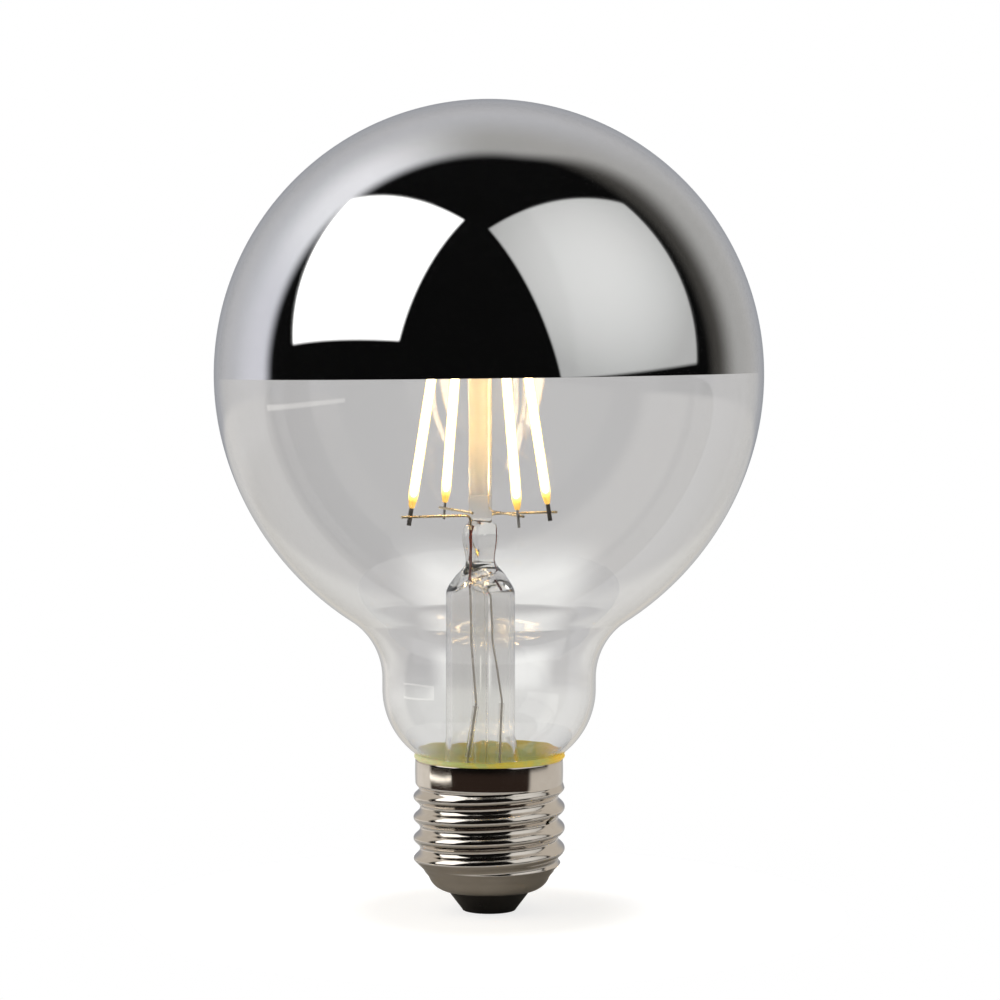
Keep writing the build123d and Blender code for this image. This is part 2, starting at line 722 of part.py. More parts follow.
def make_lead(side):
    """Dumet piece in the press, outer lead down to the driver board and its clear sleeve."""
    hand = "left" if side < 0 else "right"
    dumet = wire([lead_point(side, dumet_bottom), lead_point(side, dumet_top)], DUMET_WIRE, 0)
    write(dumet, f"dumet_wire_{hand}")
    corners = lead_route(side)
    write(wire(corners, OUTER_LEAD, LEAD_BEND), f"outer_lead_{hand}")

    upper, lower = corners[-4:-2]
    down = (lower - upper).normalized()
    with BuildPart() as sleeve:
        with BuildSketch(Plane(origin=upper + down * SLEEVE_START, z_dir=down)):
            Circle(SLEEVE_DIAMETER / 2)
            Circle(SLEEVE_BORE / 2, mode=Mode.SUBTRACT)
        extrude(amount=SLEEVE_LENGTH)
    write(sleeve.part, f"lead_sleeve_{hand}")


def front_plane(x, height):
    """Plane on the board's front face, facing away from it."""
    return Plane(origin=(x, board_front - PART_GAP, height), x_dir=(1, 0, 0), z_dir=(0, -1, 0))


def back_plane(x, height):
    """Plane on the board's back face, facing away from it."""
    return Plane(origin=(x, board_back + PART_GAP, height), x_dir=(-1, 0, 0), z_dir=(0, 1, 0))


def make_board():
    """Driver board standing upright in the cap."""
    with BuildPart() as board:
        with BuildSketch(Plane(origin=(0, board_back, 0), x_dir=(1, 0, 0), z_dir=(0, -1, 0))):
            with Locations((0, board_middle)):
                Rectangle(BOARD_WIDTH, board_height)
        extrude(amount=BOARD_THICKNESS)
        chamfer(board.edges().filter_by(Axis.Y), BOARD_CORNER)
    write(board.part, "driver_board")


def make_capacitor():
    """Smoothing capacitor, a can with a rolled groove near its foot, upright on the board."""
    radius = CAPACITOR_DIAMETER / 2
    centre_y = board_front - PART_GAP - radius
    foot = board_bottom + CAPACITOR_LIFT
    with BuildPart() as can:
        with BuildSketch(Plane.XY.offset(foot)):
            with Locations((CAPACITOR_X, centre_y)):
                Circle(radius)
        extrude(amount=board_height - CAPACITOR_LIFT - CAPACITOR_DROP)
        fillet(can.edges().group_by(Axis.Z)[-1], CAPACITOR_ROUND)
        with BuildSketch(Plane.XY.offset(foot + CAPACITOR_GROOVE_HEIGHT)):
            with Locations((CAPACITOR_X, centre_y)):
                Circle(radius)
                Circle(radius - CAPACITOR_GROOVE_DEPTH, mode=Mode.SUBTRACT)
        extrude(amount=CAPACITOR_GROOVE_WIDTH, mode=Mode.SUBTRACT)
    write(can.part, "capacitor")


def chip(plane, width, height, depth, legs, pitch):
    """Moulded package lying on a board face, with legs along its two upright sides."""
    with BuildPart() as package:
        with BuildSketch(plane):
            Rectangle(width, height)
        extrude(amount=depth, taper=CHIP_TAPER)
        with BuildSketch(plane):
            with GridLocations(width + CHIP_LEG_LENGTH, pitch, 2, legs):
                Rectangle(CHIP_LEG_LENGTH + 2 * CHIP_LEG_THICKNESS, CHIP_LEG_WIDTH)
        extrude(amount=CHIP_LEG_THICKNESS)
    return package.part


def make_choke():
    """Drum choke: two flanges with the winding between them."""
    with BuildPart() as choke:
        with BuildSketch(back_plane(CHOKE_X, board_middle)):
            Circle(CHOKE_DIAMETER / 2)
        extrude(amount=CHOKE_FLANGE)
        with BuildSketch(back_plane(CHOKE_X, board_middle)):
            Circle(CHOKE_WINDING_DIAMETER / 2)
        extrude(amount=CHOKE_LENGTH)
        with BuildSketch(back_plane(CHOKE_X, board_middle).offset(CHOKE_LENGTH - CHOKE_FLANGE)):
            Circle(CHOKE_DIAMETER / 2)
        extrude(amount=CHOKE_FLANGE)
    write(choke.part, "choke")


def make_fuse():
    """Fuse resistor with end caps and cropped leads, upright behind the board."""
    centre = (FUSE_X, board_back + PART_GAP + FUSE_CAP_DIAMETER / 2)
    with BuildPart() as fuse:
        sizes = (
            (FUSE_LEAD, FUSE_BODY + 2 * FUSE_LEAD_LENGTH),
            (FUSE_DIAMETER, FUSE_BODY),
        )
        for diameter, length in sizes:
            with BuildSketch(Plane.XY.offset(board_middle)):
                with Locations(centre):
                    Circle(diameter / 2)
            extrude(amount=length / 2, both=True)
        for end in (-FUSE_BODY / 2, FUSE_BODY / 2 - FUSE_CAP_LENGTH):
            with BuildSketch(Plane.XY.offset(board_middle + end)):
                with Locations(centre):
                    Circle(FUSE_CAP_DIAMETER / 2)
            extrude(amount=FUSE_CAP_LENGTH)
    write(fuse.part, "fuse_resistor")


def make_shell_wire():
    """Wire from the board to the punched slot, where the shell's wall traps it."""
    stand_off = INNER_WIRE / 2 + PART_GAP
    turn = radians(PUNCH_ANGLE)
    reach = root_radius - SHELL_WALL - stand_off
    points = [
        Vector(SHELL_WIRE_X, board_front - stand_off, shell_wire_foot),
        Vector(SHELL_WIRE_X, board_front - stand_off, shell_wire_bend),
        Vector(reach * cos(turn), reach * sin(turn), punch_height),
    ]
    write(wire(points, INNER_WIRE, WIRE_BEND), "shell_wire")


def make_contact_wire():
    """Wire from the rivet's bore up past the board's face."""
    stand_off = INNER_WIRE / 2 + PART_GAP
    points = [
        Vector(0, 0, CONTACT_THICKNESS + PART_GAP),
        Vector(0, 0, board_bottom - BOARD_CLEARANCE),
        Vector(0, board_front - stand_off, board_bottom + CONTACT_WIRE_RISE),
        Vector(0, board_front - stand_off, board_bottom + 2 * CONTACT_WIRE_RISE),
    ]
    write(wire(points, INNER_WIRE, INNER_WIRE), "contact_wire")


def make_cap():
    """Everything that belongs to the screw cap and what is cemented into it."""
    outer_form = cap_form(0, RIM_HEIGHT)
    inner_form = cap_form(SHELL_WALL, RIM_HEIGHT)
    make_shell(outer_form, inner_form)
    make_insulator(inner_form)
    make_contact()
    make_cement()


def make_driver():
    """Driver board with what is soldered to it."""
    make_board()
    make_capacitor()
    rectifier = chip(
        front_plane(RECTIFIER_X, shell_wire_foot - RECTIFIER_HEIGHT / 2),
        RECTIFIER_WIDTH,
        RECTIFIER_HEIGHT,
        RECTIFIER_DEPTH,
        RECTIFIER_LEGS,
        RECTIFIER_LEG_PITCH,
    )
    write(rectifier, "rectifier")
    driver = chip(
        back_plane(CHIP_X, board_middle),
        CHIP_WIDTH,
        CHIP_HEIGHT,
        CHIP_DEPTH,
        CHIP_LEGS,
        CHIP_LEG_PITCH,
    )
    write(driver, "driver_chip")
    make_choke()
    make_fuse()
    make_shell_wire()
    make_contact_wire()


def main():
    """Build and write every piece of the lamp."""
    make_envelope()
    make_mirror()
    make_cap()
    make_stem()
    make_exhaust()
    make_post()
    make_bridges()
    make_filament("back_right", 0, 1, False)
    make_filament("back_left", 90, -1, True)
    make_filament("front_left", 180, -1, False)
    make_filament("front_right", 270, 1, True)
    make_lead(-1)
    make_lead(1)
    make_driver()


main()
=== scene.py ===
import json
import math

import bpy
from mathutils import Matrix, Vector


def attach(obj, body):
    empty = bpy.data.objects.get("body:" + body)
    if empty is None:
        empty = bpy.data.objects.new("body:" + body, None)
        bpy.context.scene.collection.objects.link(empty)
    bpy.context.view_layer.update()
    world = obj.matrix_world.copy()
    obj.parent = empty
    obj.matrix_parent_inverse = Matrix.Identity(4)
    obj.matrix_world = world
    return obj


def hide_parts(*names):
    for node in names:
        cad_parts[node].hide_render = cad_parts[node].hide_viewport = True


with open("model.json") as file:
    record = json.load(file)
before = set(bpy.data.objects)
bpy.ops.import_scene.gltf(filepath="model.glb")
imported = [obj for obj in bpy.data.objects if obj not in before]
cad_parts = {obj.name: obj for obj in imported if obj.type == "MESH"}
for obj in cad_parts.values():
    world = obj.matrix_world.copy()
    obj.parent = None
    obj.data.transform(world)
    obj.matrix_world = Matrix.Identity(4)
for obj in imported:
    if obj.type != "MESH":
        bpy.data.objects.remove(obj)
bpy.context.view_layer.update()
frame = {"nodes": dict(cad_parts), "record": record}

MM = 0.001

# Glass bulb, in millimetres
GLOBE_RADIUS = 47.5
GLASS_WALL = 0.8
SHOULDER_RADIUS = 52.0
SHOULDER_START = 14.0
BLEND_RADIUS = 12.0
NECK_RADIUS = 18.6
NECK_STRAIGHT = 1.9
NECK_CURVE = 14.0
SEAL_CURVE = 3.5
SEAL_RADIUS = 11.4
SEAL_HEIGHT = 20.4
SEAL_STRAIGHT = 4.4
SEAL_PLAIN = 2.2
BULB_COLUMNS = 192

# Keeps this finer outline inside the box of the CAD's facets
FACET_INSET = 0.025

# Silver film; its first rows are narrow, so that the edge stays crisp
MIRROR_TILT = 0.7
MIRROR_FILM = 0.1
MIRROR_GAP = 0.05
MIRROR_EDGE_SHARES = [0, 0.0003, 0.003]
MIRROR_ROWS = 60

# Screw cap
THREAD_MAJOR = 13.2
THREAD_MINOR = 12.05
THREAD_PITCH = 3.629
THREAD_START = 14.6 - 2 * THREAD_PITCH
CREST_FLATNESS = 0.15
SKIRT_RADIUS = 12.9
SKIRT_BOTTOM = 22.6
RIM_HEIGHT = 26.7
SHELL_WALL = 0.3
BOWL_BOTTOM = 3.7
BOWL_ROUND = 3.6
BOWL_RADIUS = 10.8
RUN_IN_RADIUS = 11.45
RUN_IN_EASE = 1.2
CONE_HEIGHT = 1.4
CONE_SLOPE = 0.3
SHELL_HOLE = 7.3
SKIRT_BARREL = 0.05
RIM_ROLL = 0.22
RIM_TUCK = 0.14
PUNCH_ANGLE = -33.0
PUNCH_HEIGHT = 16.8
PUNCH_LENGTH = 1.4
PUNCH_COLUMNS = 4
CAP_COLUMNS = 240
BOWL_ROWS = 18
ROW_HEIGHT = 0.12
RIM_TURNS = (0, 20, 40, 60, 75, 90)

# Cement, thicker and higher round one angle
CEMENT_DEPTH = 4.1
CEMENT_TOP = 1.15
CEMENT_BEAD = 0.3
CEMENT_CLEARANCE = 0.04
CEMENT_OVERLAP = 0.1
CEMENT_TUCK = 0.02
CEMENT_SKIRT_GAP = 0.03
CEMENT_BULGE_ANGLE = 340
CEMENT_BULGE_WIDTH = 26
CEMENT_ROWS = 14
CEMENT_INNER_ROWS = 7

# Stem
STEM_OFFSET = 1.5
STEM_RADIUS = 6.0
STEM_WALL = 0.9
STEM_COLUMNS = 72
FLARE_TOP = SEAL_HEIGHT + 10.2
STEM_TUBE_TOP = 55.5
PRESS_ANGLE = 55.6
POST_RADIUS = 2.0
BEAD_RADIUS = 2.8
EXHAUST_RADIUS = 1.4
EXHAUST_BORE = 0.9
EXHAUST_TIP = 18.6

# Filaments
FILAMENT_ANGLE = 28.4
FOOT_RADIUS = 13.65
HEAD_RADIUS = 7.6
FOOT_HEIGHT = 69.2
COAT_LENGTH = 32.0
COAT_RADIUS = 0.85
CORE_RADIUS = 0.66
WELD_INSET = 1.5
FILAMENT_COLUMNS = 32
HEAD_HEIGHT = FOOT_HEIGHT + math.sqrt(
    (COAT_LENGTH + 2 * WELD_INSET) ** 2 - (FOOT_RADIUS - HEAD_RADIUS) ** 2
)

# Rounded ends, as pairs of radius and distance
COAT_END = [
    (0.0, 0.0), (0.35, 0.02), (0.5, 0.25), (0.62, 0.8), (0.74, 1.5), (0.82, 2.2),
    (COAT_RADIUS, 3.0),
]
CORE_END = [(0.0, 2.0), (0.25, 2.05), (0.42, 2.3), (0.56, 2.8), (CORE_RADIUS, 3.6)]


# Meshes

def mesh_piece(name, points, faces, replaced):
    """A smooth mesh of millimetre points that stands for CAD nodes and rides on the body."""
    mesh = bpy.data.meshes.new(name)
    mesh.from_pydata([(x * MM, y * MM, z * MM) for x, y, z in points], [], faces)
    mesh.validate()
    mesh.polygons.foreach_set("use_smooth", [True] * len(mesh.polygons))
    mesh.update()
    obj = bpy.data.objects.new(name, mesh)
    bpy.context.scene.collection.objects.link(obj)
    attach(obj, "root")
    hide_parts(*replaced)
    return obj


def ring_surface(points, faces, rings, closed=False):
    """Adds rings of points joined by quads; a ring of one point closes the surface."""
    starts = []
    for ring in rings:
        starts.append((len(points), len(ring)))
        points.extend(ring)
    pairs = list(zip(starts, starts[1:]))
    if closed:
        pairs.append((starts[-1], starts[0]))
    for (a, count_a), (b, count_b) in pairs:
        count = max(count_a, count_b)
        for i in range(count):
            j = (i + 1) % count
            if count_a == 1:
                faces.append((a, b + j, b + i))
            elif count_b == 1:
                faces.append((a + i, a + j, b))
            else:
                faces.append((a + i, a + j, b + j, b + i))


def circle_ring(radius, z, count, centre=(0, 0)):
    """Ring of points at a radius and height about an upright axis."""
    if radius < 1e-6:
        return [(centre[0], centre[1], z)]
    step = 2 * math.pi / count
    return [
        (centre[0] + radius * math.cos(i * step), centre[1] + radius * math.sin(i * step), z)
        for i in range(count)
    ]


def arc(cx, cz, radius, start, end, count):
    """Points of an arc in the (radius, height) plane, angles in degrees."""
    out = []
    for i in range(count + 1):
        a = math.radians(start + (end - start) * i / count)
        out.append((cx + radius * math.cos(a), cz + radius * math.sin(a)))
    return out


def join_profile(*runs):
    """Runs of profile points in one list without repeated points."""
    out = []
    for run in runs:
        for point in run:
            if not out or math.dist(out[-1], point) > 1e-4:
                out.append(point)
    return out


# Bulb

seal_curve_height = SEAL_HEIGHT + SEAL_STRAIGHT
neck_curve_x = NECK_RADIUS - NECK_CURVE
seal_curve_x = SEAL_RADIUS + SEAL_CURVE
seal_turn = math.acos((seal_curve_x - neck_curve_x) / (NECK_CURVE + SEAL_CURVE))
neck_curve_height = seal_curve_height + (NECK_CURVE + SEAL_CURVE) * math.sin(seal_turn)
blend_height = neck_curve_height + NECK_STRAIGHT
blend_x = NECK_RADIUS + BLEND_RADIUS
shoulder_shift = SHOULDER_RADIUS - GLOBE_RADIUS
shoulder_x = -shoulder_shift * math.cos(math.radians(SHOULDER_START))
shoulder_height = blend_height + math.sqrt(
    (SHOULDER_RADIUS + BLEND_RADIUS) ** 2 - (blend_x - shoulder_x) ** 2
)
globe_height = shoulder_height - shoulder_shift * math.sin(math.radians(SHOULDER_START))
blend_turn = math.acos((blend_x - shoulder_x) / (SHOULDER_RADIUS + BLEND_RADIUS))


def bulb_profile(inset):
    """Profile of the bulb's wall from the neck's lower end to the crown, moved in by inset."""
    seal = math.degrees(seal_turn)
    blend = math.degrees(blend_turn)
    return join_profile(
        [(SEAL_RADIUS - inset, SEAL_HEIGHT), (SEAL_RADIUS - inset, SEAL_HEIGHT + SEAL_PLAIN)],
        arc(seal_curve_x, seal_curve_height, SEAL_CURVE + inset, 180, 180 - seal, 10),
        arc(neck_curve_x, neck_curve_height, NECK_CURVE - inset, -seal, 0, 20),
        arc(blend_x, blend_height, BLEND_RADIUS + inset, 180, 180 - blend, 20),
        arc(shoulder_x, shoulder_height, SHOULDER_RADIUS - inset, -blend, -SHOULDER_START, 30),
        arc(0, globe_height, GLOBE_RADIUS - inset, -SHOULDER_START, 90, 70),
    )


def lathe(profile, count):
    """Rings of a profile turned about the Z axis."""
    return [circle_ring(r, z, count) for r, z in profile]


def make_envelope():
    """Clear wall of the bulb: outer and inner surface joined at the neck's end."""
    points, faces = [], []
    outer = bulb_profile(FACET_INSET)
    inner = bulb_profile(GLASS_WALL)
    outer[-1] = (0, outer[-1][1])
    inner[-1] = (0, inner[-1][1])
    ring_surface(points, faces, lathe(inner[::-1] + outer, BULB_COLUMNS))
    return mesh_piece("bulb_glass", points, faces, ["glass_envelope"])


def make_mirror():
    """Silver film inside the crown, down to its slightly tilted edge."""
    tilt = math.tan(math.radians(MIRROR_TILT))
    shares = MIRROR_EDGE_SHARES + [k / MIRROR_ROWS for k in range(1, MIRROR_ROWS + 1)]
    outer_radius = GLOBE_RADIUS - GLASS_WALL - MIRROR_GAP
    skins = []
    for radius in (outer_radius, outer_radius - MIRROR_FILM):
        skin = []
        for share in shares[:-1]:
            ring = []
            for i in range(BULB_COLUMNS):
                a = 2 * math.pi * i / BULB_COLUMNS
                low = math.atan(tilt * math.cos(a))
                e = low + (math.pi / 2 - low) * share
                ring.append((
                    radius * math.cos(e) * math.cos(a),
                    radius * math.cos(e) * math.sin(a),
                    globe_height + radius * math.sin(e),
                ))
            skin.append(ring)
        skin.append([(0, 0, globe_height + radius)])
        skins.append(skin)
    outer, inner = skins
    points, faces = [], []
    ring_surface(points, faces, inner[::-1] + outer)
    return mesh_piece("silver_film", points, faces, ["crown_mirror"])


# Cap

def smooth_step(low, high, value):
    """0 below low and 1 above high, with an even start and end."""
    t = min(1.0, max(0.0, (value - low) / (high - low)))
    return t * t * (3 - 2 * t)


def thread_radius(z, angle):
    """Radius of the rolled thread, a wave with slightly flattened crests and roots."""
    shift = (THREAD_MAJOR - THREAD_MINOR) / 2
    mean = (THREAD_MAJOR + THREAD_MINOR) / 2
    wave = math.cos(angle - 2 * math.pi * (z - THREAD_START) / THREAD_PITCH)
    return mean + shift * wave * (1 + CREST_FLATNESS - CREST_FLATNESS * wave ** 2)


def skirt_radius(z):
    """Outer radius of the skirt, very slightly barrelled and rolled over at the rim."""
    middle = (SKIRT_BOTTOM + RIM_HEIGHT) / 2
    radius = SKIRT_RADIUS - SKIRT_BARREL * ((z - middle) / (RIM_HEIGHT - middle)) ** 2
    roll = max(0.0, (z - RIM_HEIGHT + RIM_ROLL) / RIM_ROLL)
    return radius - RIM_TUCK * (1 - math.sqrt(max(0.0, 1 - roll ** 2)))


def shell_radius(z, angle):
    """Outer radius of the rolled shell at a height and an angle."""
    bowl_z = BOWL_BOTTOM + BOWL_ROUND
    if z < bowl_z:
        depth = min(1.0, (bowl_z - z) / BOWL_ROUND)
        bowl = BOWL_RADIUS - BOWL_ROUND + BOWL_ROUND * math.sqrt(max(0.0, 1 - depth ** 2))
        bowl = max(bowl, SHELL_HOLE)
    else:
        bowl = BOWL_RADIUS
    if z < THREAD_START:
        rise = smooth_step(bowl_z - RUN_IN_EASE, THREAD_START, z)
        return bowl + (RUN_IN_RADIUS - BOWL_RADIUS) * rise
    if z >= SKIRT_BOTTOM:
        return skirt_radius(z)
    limit = RUN_IN_RADIUS + (z - THREAD_START)
    thread = min(thread_radius(z, angle), limit)
    cone_foot = SKIRT_BOTTOM - CONE_HEIGHT
    if z > cone_foot:
        share = smooth_step(cone_foot, SKIRT_BOTTOM, z)
        skirt = skirt_radius(SKIRT_BOTTOM)
        thread = max(thread * (1 - share) + skirt * share, thread_radius(z, angle))
        thread = min(thread, skirt + (SKIRT_BOTTOM - z) * CONE_SLOPE)
    return thread


def shell_heights():
    """Heights of the shell's rows: rounded foot, even rows up the thread, rolled rim."""
    heights = [
        BOWL_BOTTOM + BOWL_ROUND * (1 - math.cos(math.radians(90 * i / BOWL_ROWS)))
        for i in range(BOWL_ROWS + 1)
    ]
    while heights[-1] < RIM_HEIGHT - RIM_ROLL - ROW_HEIGHT:
        heights.append(heights[-1] + ROW_HEIGHT)
    return heights + [RIM_HEIGHT - RIM_ROLL * (1 - math.sin(math.radians(a))) for a in RIM_TURNS]


def make_shell():
    """Rolled shell with its thread, rounded foot, plain skirt and punched slot."""
    count = CAP_COLUMNS
    step = 2 * math.pi / count
    heights = shell_heights()
    rows = len(heights)
    points = []
    for inset in (0, SHELL_WALL):
        for z in heights:
            level = min(max(z, BOWL_BOTTOM + inset), RIM_HEIGHT)
            for i in range(count):
                r = shell_radius(z, i * step) - inset
                points.append((r * math.cos(i * step), r * math.sin(i * step), level))

    def at(skin, row, column):
        return skin * rows * count + row * count + column % count

    middle = round(math.radians(PUNCH_ANGLE) / step)
    slot = {
        (row, column % count)
        for row in range(rows - 1)
        for column in range(middle - PUNCH_COLUMNS // 2, middle + PUNCH_COLUMNS // 2)
        if abs((heights[row] + heights[row + 1]) / 2 - PUNCH_HEIGHT) < PUNCH_LENGTH / 2
    }
    faces = []
    for row in range(rows - 1):
        for column in range(count):
            near, far = (row, column), (row + 1, column + 1)
            corners = [near, (row, column + 1), far, (row + 1, column)]
            if near not in slot:
                faces.append(tuple(at(0, *corner) for corner in corners))
                faces.append(tuple(at(1, *corner) for corner in reversed(corners)))
                continue
            sides = [
                (row - 1, column), (row, (column + 1) % count),
                (row + 1, column), (row, (column - 1) % count),
            ]
            for k, side in enumerate(sides):
                if side not in slot:
                    first, second = corners[k], corners[(k + 1) % 4]
                    faces.append((at(0, *first), at(0, *second), at(1, *second), at(1, *first)))
    for column in range(count):
        for row, first, second in ((rows - 1, 0, 1), (0, 1, 0)):
            faces.append((
                at(first, row, column), at(first, row, column + 1),
                at(second, row, column + 1), at(second, row, column),
            ))
    return mesh_piece("rolled_shell", points, faces, ["cap_shell"])


def lumps(angle, seed):
    """Uneven amount between -1 and 1 around the ring."""
    return (
        math.sin(3 * angle + seed)
        + 0.6 * math.sin(7 * angle + 2.3 * seed)
        + 0.4 * math.sin(13 * angle + 3.1 * seed)
    ) / 2.0


def cement_bulge(angle):
    """1 at the thick part of the ring, falling to 0 around it."""
    return math.exp(-((math.degrees(angle) - CEMENT_BULGE_ANGLE) / CEMENT_BULGE_WIDTH) ** 2)


def cement_height(angle):
    """Height of the cement above the rim."""
    bulge = cement_bulge(angle)
    return CEMENT_TOP * (0.8 + 0.18 * lumps(angle, 4.1) * (1 - bulge) + 0.4 * bulge)


def cement_crest(angle):
    """How far the cement's bead stands out past the skirt."""
    bulge = cement_bulge(angle)
    return CEMENT_BEAD * (0.55 + 0.4 * lumps(angle, 1.7) * (1 - bulge) + 0.8 * bulge)


def make_cement():
    """Uneven ring of basing cement between the neck and the rim."""
    glass = bulb_profile(-CEMENT_CLEARANCE)
    angles = [2 * math.pi * i / CAP_COLUMNS for i in range(CAP_COLUMNS)]

    def glass_radius(z):
        for (r0, z0), (r1, z1) in zip(glass, glass[1:]):
            if z0 <= z <= z1:
                return r0 + (r1 - r0) * (z - z0) / (z1 - z0)
        return SEAL_RADIUS

    bead = []
    for k in range(CEMENT_ROWS + 1):
        t = k / CEMENT_ROWS
        belly = math.sin(math.pi * min(1, t * 1.25 + 0.05) * 0.8)
        end = smooth_step(0.7, 1.0, t)
        ring = []
        for a in angles:
            z = RIM_HEIGHT + cement_height(a) * t
            outward = SKIRT_RADIUS - CEMENT_OVERLAP + (cement_crest(a) + CEMENT_OVERLAP) * belly
            r = outward * (1 - end) + min(outward, glass_radius(z) + CEMENT_TUCK) * end
            ring.append((r * math.cos(a), r * math.sin(a), z))
        bead.append(ring)
    low = RIM_HEIGHT - CEMENT_DEPTH
    at_glass = []
    for k in range(CEMENT_INNER_ROWS + 1):
        ring = []
        for a in angles:
            high = RIM_HEIGHT + cement_height(a) - CEMENT_TUCK
            z = low + (high - low) * (k / CEMENT_INNER_ROWS)
            r = glass_radius(z)
            ring.append((r * math.cos(a), r * math.sin(a), z))
        at_glass.append(ring)
    in_skirt = SKIRT_RADIUS - SHELL_WALL - CEMENT_SKIRT_GAP
    foot = circle_ring(in_skirt, low, CAP_COLUMNS)
    inside = circle_ring(in_skirt, RIM_HEIGHT + CEMENT_TUCK, CAP_COLUMNS)
    points, faces = [], []
    ring_surface(points, faces, at_glass[::-1] + [foot, inside] + bead, closed=True)
    return mesh_piece("cement_ring", points, faces, ["basing_cement"])


# Stem

def monotone(xs, ys, x):
    """Smooth interpolation that doesn't overshoot its points."""
    if x <= xs[0]:
        return ys[0]
    if x >= xs[-1]:
        return ys[-1]
    slopes = [(ys[i + 1] - ys[i]) / (xs[i + 1] - xs[i]) for i in range(len(xs) - 1)]
    tangents = [slopes[0]]
    for a, b in zip(slopes, slopes[1:]):
        tangents.append(0 if a * b <= 0 else 2 * a * b / (a + b))
    tangents.append(slopes[-1])
    i = max(k for k in range(len(xs) - 1) if xs[k] <= x)
    h = xs[i + 1] - xs[i]
    t = (x - xs[i]) / h
    return (
        ys[i] * (2 * t ** 3 - 3 * t ** 2 + 1)
        + tangents[i] * h * (t ** 3 - 2 * t ** 2 + t)
        + ys[i + 1] * (-2 * t ** 3 + 3 * t ** 2)
        + tangents[i + 1] * h * (t ** 3 - t ** 2)
    )


def oval_ring(z, shift, wide, narrow, count):
    """Oval ring of the stem, its long side along the press."""
    turn = math.radians(PRESS_ANGLE)
    ring = []
    for i in range(count):
        a = 2 * math.pi * i / count
        u, v = wide / 2 * math.cos(a), narrow / 2 * math.sin(a)
        ring.append((
            -shift + u * math.cos(turn) - v * math.sin(turn),
            u * math.sin(turn) + v * math.cos(turn),
            z,
        ))
    return ring


def stack(levels, count, steps):
    """Smooth stack of oval rings through (height, shift, wide, narrow) levels."""
    zs = [level[0] for level in levels]
    columns = [[level[k] for level in levels] for k in (1, 2, 3)]
    rings = []
    for i in range(steps + 1):
        z = zs[0] + (zs[-1] - zs[0]) * i / steps
        rings.append(oval_ring(z, *[monotone(zs, column, z) for column in columns], count))
    return rings


